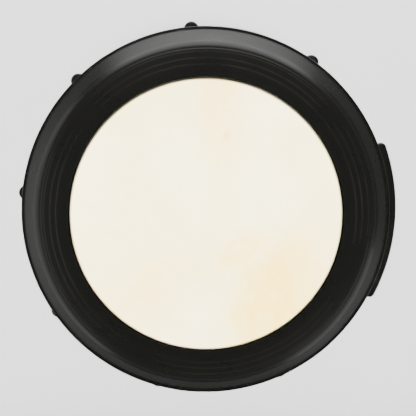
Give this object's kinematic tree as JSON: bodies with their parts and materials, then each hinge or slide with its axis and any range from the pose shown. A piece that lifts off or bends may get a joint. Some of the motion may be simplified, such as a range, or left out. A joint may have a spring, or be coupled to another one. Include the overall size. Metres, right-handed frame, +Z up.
{
  "type": "goblet hand drum",
  "caption": "Large cast goblet drum (bass darbuka) with a natural skin pulled tight by a wide bolted rim, on a flared hollow foot.",
  "frame": {"origin": "on the floor under the middle of the foot, on the drum's axis", "axes": "+Z up along the drum's axis, from the foot to the head; +Y points to one tension bolt, 4.5 degrees off it"},
  "size_m": [0.3907, 0.382, 0.48],
  "materials": {
    "black_gloss": "gloss black lacquer on a turned casting",
    "black_lacquer": "black lacquer on a casting",
    "goat_skin": "natural skin, scraped and dry",
    "hoop_steel": "plain steel",
    "bolt_steel": "blacked steel",
    "bush_steel": "zinc-plated steel",
    "foot_rubber": "matt moulded rubber"
  },
  "bodies": {
    "shell": {"bowl": "black_lacquer", "foot_bell": "black_lacquer", "throat_ring": "black_lacquer", "throat_screw_1": "bolt_steel", "throat_screw_2": "bolt_steel", "throat_screw_3": "bolt_steel", "throat_screw_4": "bolt_steel", "throat_screw_5": "bolt_steel", "throat_screw_6": "bolt_steel", "foot_rubber": "foot_rubber", "flesh_hoop": "hoop_steel", "skin": "goat_skin", "bolt_washer_1": "bolt_steel", "bolt_washer_2": "bolt_steel", "bolt_washer_3": "bolt_steel", "bolt_washer_4": "bolt_steel", "bolt_washer_5": "bolt_steel", "bolt_washer_6": "bolt_steel", "bolt_washer_7": "bolt_steel", "bolt_washer_8": "bolt_steel", "bolt_washer_9": "bolt_steel"},
    "rim": {"rim": "black_gloss", "thread_bush_1": "bush_steel", "thread_bush_2": "bush_steel", "thread_bush_3": "bush_steel", "thread_bush_4": "bush_steel", "thread_bush_5": "bush_steel", "thread_bush_6": "bush_steel", "thread_bush_7": "bush_steel", "thread_bush_8": "bush_steel", "thread_bush_9": "bush_steel"},
    "bolt_1": {"tension_bolt_1": "bolt_steel"},
    "bolt_2": {"tension_bolt_2": "bolt_steel"},
    "bolt_3": {"tension_bolt_3": "bolt_steel"},
    "bolt_4": {"tension_bolt_4": "bolt_steel"},
    "bolt_5": {"tension_bolt_5": "bolt_steel"},
    "bolt_6": {"tension_bolt_6": "bolt_steel"},
    "bolt_7": {"tension_bolt_7": "bolt_steel"},
    "bolt_8": {"tension_bolt_8": "bolt_steel"},
    "bolt_9": {"tension_bolt_9": "bolt_steel"}
  },
  "joints": [
    {"name": "rim_travel", "type": "slide", "parent": "shell", "child": "rim", "axis": [0, 0, 1], "range_m": [0, 0.011]},
    {"name": "bolt_1_turn", "type": "hinge", "parent": "shell", "child": "bolt_1", "pos_m": [-0.01417, 0.18004, 0.42], "axis": [0, 0, -1], "range_deg": [0, 3961]},
    {"name": "bolt_2_turn", "type": "hinge", "parent": "shell", "child": "bolt_2", "pos_m": [-0.12658, 0.12881, 0.42], "axis": [0, 0, -1], "range_deg": [0, 3961]},
    {"name": "bolt_3_turn", "type": "hinge", "parent": "shell", "child": "bolt_3", "pos_m": [-0.17977, 0.01731, 0.42], "axis": [0, 0, -1], "range_deg": [0, 3961]},
    {"name": "bolt_4_turn", "type": "hinge", "parent": "shell", "child": "bolt_4", "pos_m": [-0.14884, -0.10229, 0.42], "axis": [0, 0, -1], "range_deg": [0, 3961]},
    {"name": "bolt_5_turn", "type": "hinge", "parent": "shell", "child": "bolt_5", "pos_m": [-0.04826, -0.17403, 0.42], "axis": [0, 0, -1], "range_deg": [0, 3961]},
    {"name": "bolt_6_turn", "type": "hinge", "parent": "shell", "child": "bolt_6", "pos_m": [0.07489, -0.16434, 0.42], "axis": [0, 0, -1], "range_deg": [0, 3961]},
    {"name": "bolt_7_turn", "type": "hinge", "parent": "shell", "child": "bolt_7", "pos_m": [0.16301, -0.07775, 0.42], "axis": [0, 0, -1], "range_deg": [0, 3961]},
    {"name": "bolt_8_turn", "type": "hinge", "parent": "shell", "child": "bolt_8", "pos_m": [0.17485, 0.04522, 0.42], "axis": [0, 0, -1], "range_deg": [0, 3961]},
    {"name": "bolt_9_turn", "type": "hinge", "parent": "shell", "child": "bolt_9", "pos_m": [0.10487, 0.14703, 0.42], "axis": [0, 0, -1], "range_deg": [0, 3961]}
  ],
  "couplings": [
    {"joint": "bolt_1_turn", "follows": "rim_travel", "rad_per_m": 6283.2},
    {"joint": "bolt_2_turn", "follows": "rim_travel", "rad_per_m": 6283.2},
    {"joint": "bolt_3_turn", "follows": "rim_travel", "rad_per_m": 6283.2},
    {"joint": "bolt_4_turn", "follows": "rim_travel", "rad_per_m": 6283.2},
    {"joint": "bolt_5_turn", "follows": "rim_travel", "rad_per_m": 6283.2},
    {"joint": "bolt_6_turn", "follows": "rim_travel", "rad_per_m": 6283.2},
    {"joint": "bolt_7_turn", "follows": "rim_travel", "rad_per_m": 6283.2},
    {"joint": "bolt_8_turn", "follows": "rim_travel", "rad_per_m": 6283.2},
    {"joint": "bolt_9_turn", "follows": "rim_travel", "rad_per_m": 6283.2}
  ]
}
